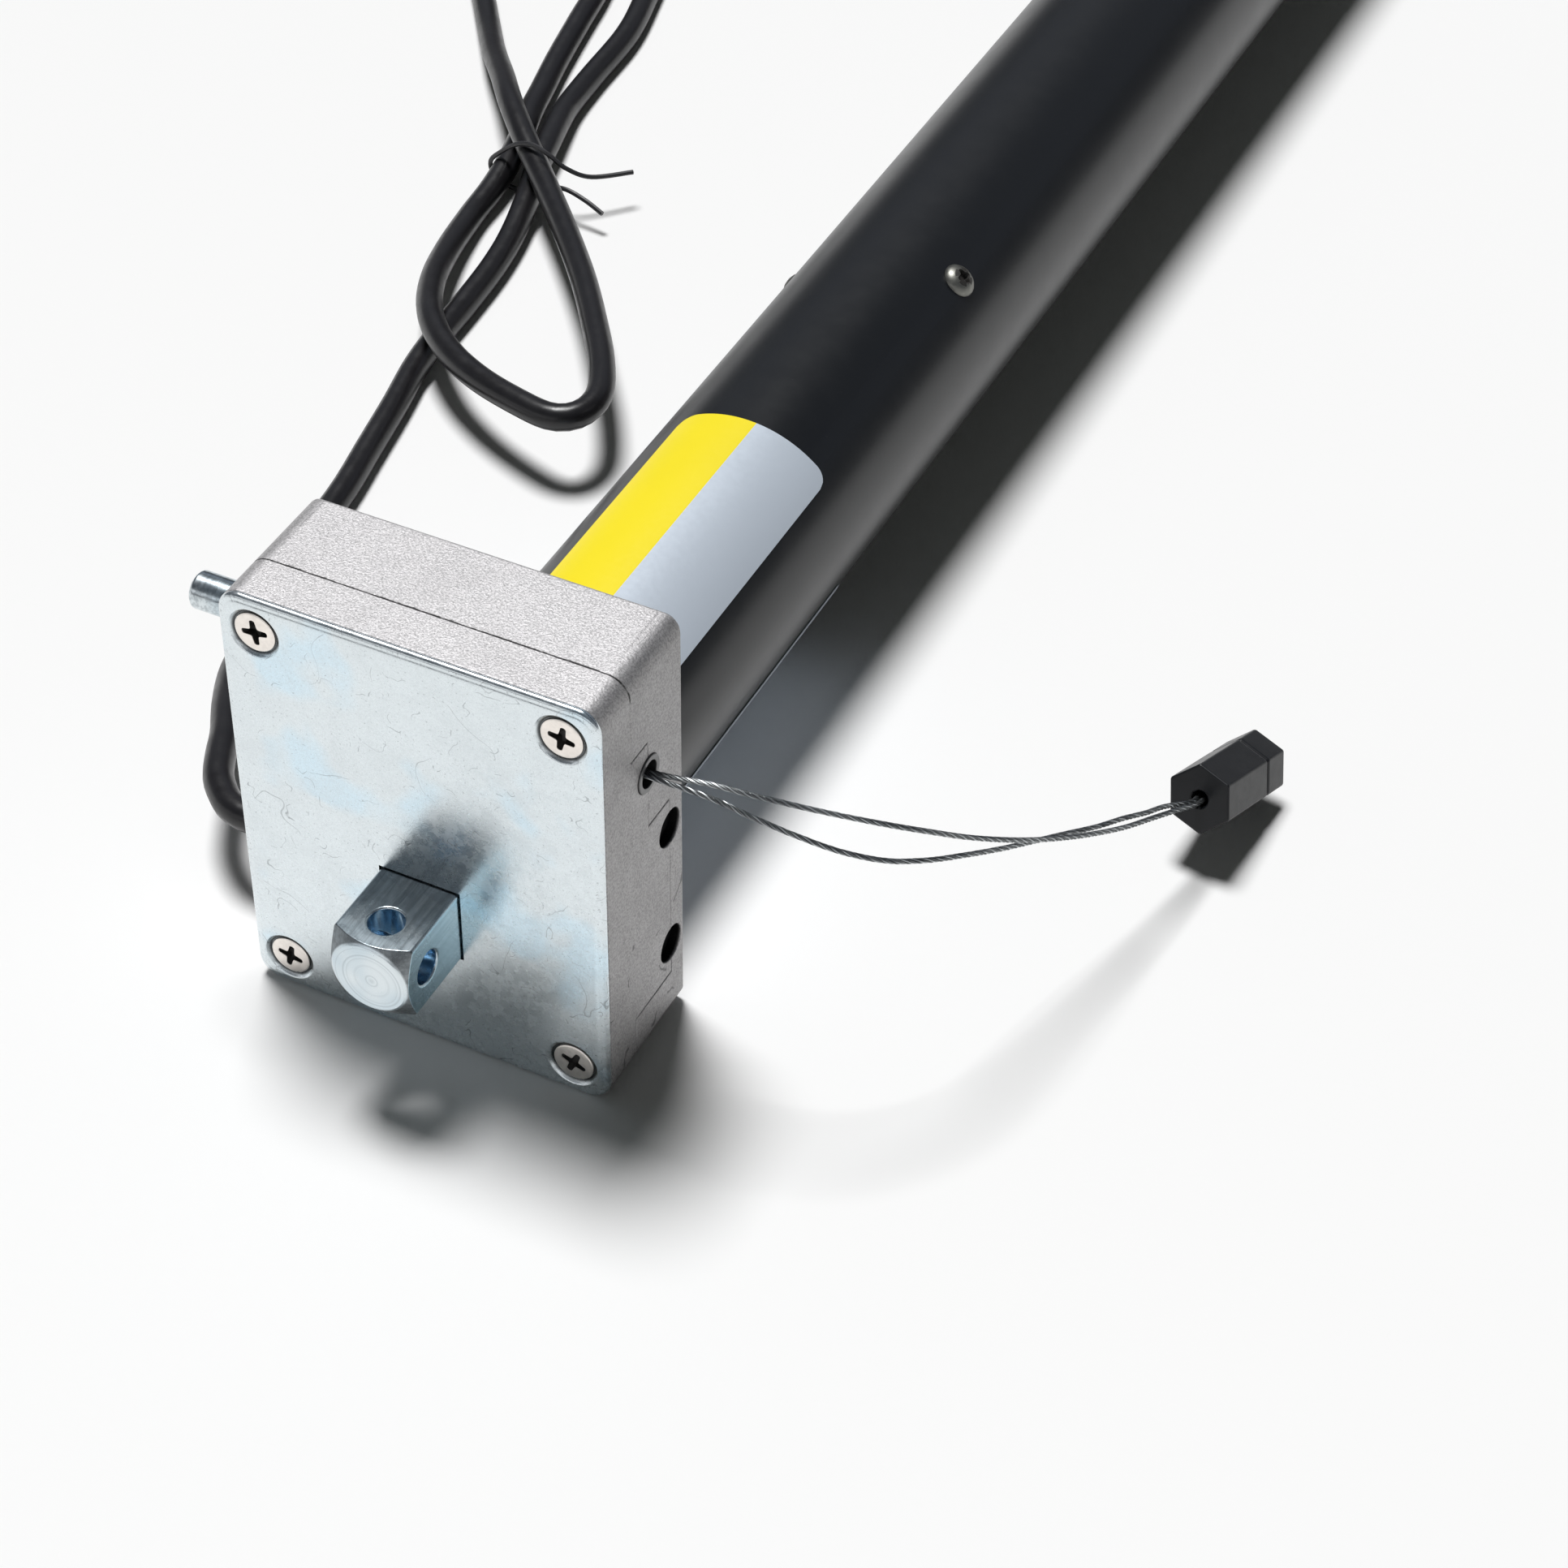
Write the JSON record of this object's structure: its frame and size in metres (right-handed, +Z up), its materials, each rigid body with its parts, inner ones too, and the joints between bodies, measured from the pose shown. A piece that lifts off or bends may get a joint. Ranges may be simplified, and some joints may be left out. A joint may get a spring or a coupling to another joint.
{
  "type": "tubular roller blind motor",
  "caption": "Tubular motor for a roller blind, with a cast gear head, square mounting stub, crank pin, release wire and tied power cord.",
  "frame": {"origin": "where the two cross holes of the square mounting stub meet, on the tube axis", "axes": "+Z up, +Y back along the tube from the stub to the drive wheel, +X to the head's wire side"},
  "size_m": [0.3176, 0.5045, 0.0938],
  "materials": {
    "zinc_plate": "zinc plated sheet with fine scratches",
    "cast_alloy": "sand textured die casting",
    "screw_steel": "satin",
    "zinc_bright": "bright zinc, turned",
    "black_tube": "satin black",
    "label_yellow": "printed film, plain yellow and silver white",
    "label_silver": "plain silver film",
    "wire_steel": "twisted strands",
    "pull_plastic": "satin",
    "cord_pvc": "smooth PVC",
    "core_plastic": "coloured insulation with bare ends",
    "bronze": "sintered",
    "gear_brass": "machined",
    "gear_steel": "machined",
    "black_nylon": "moulded",
    "white_nylon": "moulded",
    "red_nylon": "moulded",
    "alloy_inner": "cast",
    "bearing_steel": "polished",
    "core_steel": "stacked sheets",
    "copper": "enamelled copper wire",
    "brake_lining": "friction lining",
    "drive_nylon": "glass filled nylon"
  },
  "bodies": {
    "head": {"cover_plate": "zinc_plate", "cover_screws": "screw_steel", "front_housing": "cast_alloy", "rear_housing": "cast_alloy", "mounting_stub": "zinc_bright", "crank_bushes": "bronze", "layshaft_bushes": "bronze", "sleeve_bearing": "white_nylon", "lever_pin": "gear_steel", "wire_bush": "gear_steel", "limit_frame": "black_nylon", "limit_switches": "black_nylon", "cord_relief": "cord_pvc", "power_cord": "cord_pvc", "cord_cores": "core_plastic", "twist_tie": "cord_pvc"},
    "crank": {"crank_shaft": "zinc_bright", "crank_worm": "gear_steel"},
    "layshaft_gears": {"layshaft": "gear_steel", "worm_wheel": "gear_brass", "layshaft_pinion": "gear_steel"},
    "lever": {"release_lever": "gear_steel", "release_spring": "gear_steel"},
    "pull": {"release_wire": "wire_steel", "wire_ferrule": "gear_steel", "pull_handle": "pull_plastic"},
    "adjuster_up": {"limit_adjuster_up": "red_nylon"},
    "adjuster_down": {"limit_adjuster_down": "red_nylon"},
    "nut_up": {"limit_nut_up": "white_nylon"},
    "nut_down": {"limit_nut_down": "white_nylon"},
    "motor": {"toothed_sleeve": "black_nylon", "main_gear": "gear_steel", "motor_tube": "black_tube", "tube_screws": "screw_steel", "top_label": "label_yellow", "underside_label": "label_silver", "capacitor": "white_nylon", "front_end_shield": "alloy_inner", "rear_end_shield": "alloy_inner", "rotor_bearings": "bearing_steel", "stator_core": "core_steel", "stator_windings": "copper", "brake_coil": "core_steel", "gearbox_ring": "gear_steel", "output_bearings": "bearing_steel", "end_cap": "black_nylon"},
    "rotor": {"rotor_core": "core_steel", "rotor_shaft": "gear_steel", "brake_disc": "brake_lining"},
    "armature": {"brake_armature": "gear_steel"},
    "carrier_1": {"stage_1_carrier": "gear_steel"},
    "planet_body_1a": {"planet_1a": "gear_steel"},
    "planet_body_1b": {"planet_1b": "gear_steel"},
    "planet_body_1c": {"planet_1c": "gear_steel"},
    "output": {"output_carrier": "gear_steel", "drive_wheel": "drive_nylon", "wheel_circlip": "gear_steel"},
    "planet_body_2a": {"planet_2a": "gear_steel"},
    "planet_body_2b": {"planet_2b": "gear_steel"},
    "planet_body_2c": {"planet_2c": "gear_steel"}
  },
  "joints": [
    {"name": "tube_turn", "type": "hinge", "parent": "head", "child": "motor", "pos_m": [0, 0.039, 0], "axis": [0, 1, 0], "continuous": true},
    {"name": "crank_turn", "type": "hinge", "parent": "head", "child": "crank", "pos_m": [0, 0.0244, 0.0471], "axis": [1, 0, 0], "continuous": true},
    {"name": "layshaft_turn", "type": "hinge", "parent": "head", "child": "layshaft_gears", "pos_m": [0, 0.0244, 0.03125], "axis": [0, 1, 0], "continuous": true},
    {"name": "release_pull", "type": "slide", "parent": "head", "child": "pull", "axis": [1, 0, 0], "range_m": [0, 0.005], "stiffness_N_per_m": 100},
    {"name": "lever_turn", "type": "hinge", "parent": "head", "child": "lever", "pos_m": [0.0243, 0.02, 0.0195], "axis": [0, 1, 0], "range_deg": [0, 21.4]},
    {"name": "adjuster_up_turn", "type": "hinge", "parent": "head", "child": "adjuster_up", "pos_m": [0.03, 0.0365, 0.0161], "axis": [-1, 0, 0], "range_deg": [0, 1803.6]},
    {"name": "nut_up_slide", "type": "slide", "parent": "head", "child": "nut_up", "axis": [1, 0, 0], "range_m": [0, 0.005]},
    {"name": "adjuster_down_turn", "type": "hinge", "parent": "head", "child": "adjuster_down", "pos_m": [0.03, 0.0365, -0.0131], "axis": [-1, 0, 0], "range_deg": [0, 1803.6]},
    {"name": "nut_down_slide", "type": "slide", "parent": "head", "child": "nut_down", "axis": [1, 0, 0], "range_m": [0, 0.005]},
    {"name": "rotor_turn", "type": "hinge", "parent": "motor", "child": "rotor", "pos_m": [0, 0.27, 0], "axis": [0, 1, 0], "continuous": true},
    {"name": "brake_release", "type": "slide", "parent": "motor", "child": "armature", "axis": [0, -1, 0], "range_m": [0, 0.0004], "stiffness_N_per_m": 500},
    {"name": "carrier_1_turn", "type": "hinge", "parent": "motor", "child": "carrier_1", "pos_m": [0, 0.395, 0], "axis": [0, 1, 0], "continuous": true},
    {"name": "output_turn", "type": "hinge", "parent": "motor", "child": "output", "pos_m": [0, 0.44, 0], "axis": [0, 1, 0], "continuous": true},
    {"name": "planet_1a_turn", "type": "hinge", "parent": "carrier_1", "child": "planet_body_1a", "pos_m": [0.01125, 0.385, 0], "axis": [0, 1, 0], "continuous": true},
    {"name": "planet_2a_turn", "type": "hinge", "parent": "output", "child": "planet_body_2a", "pos_m": [0.01125, 0.405, 0], "axis": [0, 1, 0], "continuous": true},
    {"name": "planet_1b_turn", "type": "hinge", "parent": "carrier_1", "child": "planet_body_1b", "pos_m": [-0.00562, 0.385, 0.00974], "axis": [0, 1, 0], "continuous": true},
    {"name": "planet_2b_turn", "type": "hinge", "parent": "output", "child": "planet_body_2b", "pos_m": [-0.00562, 0.405, 0.00974], "axis": [0, 1, 0], "continuous": true},
    {"name": "planet_1c_turn", "type": "hinge", "parent": "carrier_1", "child": "planet_body_1c", "pos_m": [-0.00562, 0.385, -0.00974], "axis": [0, 1, 0], "continuous": true},
    {"name": "planet_2c_turn", "type": "hinge", "parent": "output", "child": "planet_body_2c", "pos_m": [-0.00562, 0.405, -0.00974], "axis": [0, 1, 0], "continuous": true}
  ],
  "couplings": [
    {"joint": "crank_turn", "follows": "tube_turn", "ratio": 51.429},
    {"joint": "layshaft_turn", "follows": "tube_turn", "ratio": -2.5714},
    {"joint": "lever_turn", "follows": "release_pull", "rad_per_m": 74.074},
    {"joint": "adjuster_up_turn", "follows": "nut_up_slide", "rad_per_m": 6283.2},
    {"joint": "adjuster_down_turn", "follows": "nut_down_slide", "rad_per_m": 6283.2},
    {"joint": "carrier_1_turn", "follows": "rotor_turn", "ratio": 0.15},
    {"joint": "output_turn", "follows": "rotor_turn", "ratio": 0.0225},
    {"joint": "planet_1a_turn", "follows": "rotor_turn", "ratio": -0.36429},
    {"joint": "planet_2a_turn", "follows": "rotor_turn", "ratio": -0.054643},
    {"joint": "planet_1b_turn", "follows": "rotor_turn", "ratio": -0.36429},
    {"joint": "planet_2b_turn", "follows": "rotor_turn", "ratio": -0.054643},
    {"joint": "planet_1c_turn", "follows": "rotor_turn", "ratio": -0.36429},
    {"joint": "planet_2c_turn", "follows": "rotor_turn", "ratio": -0.054643}
  ]
}
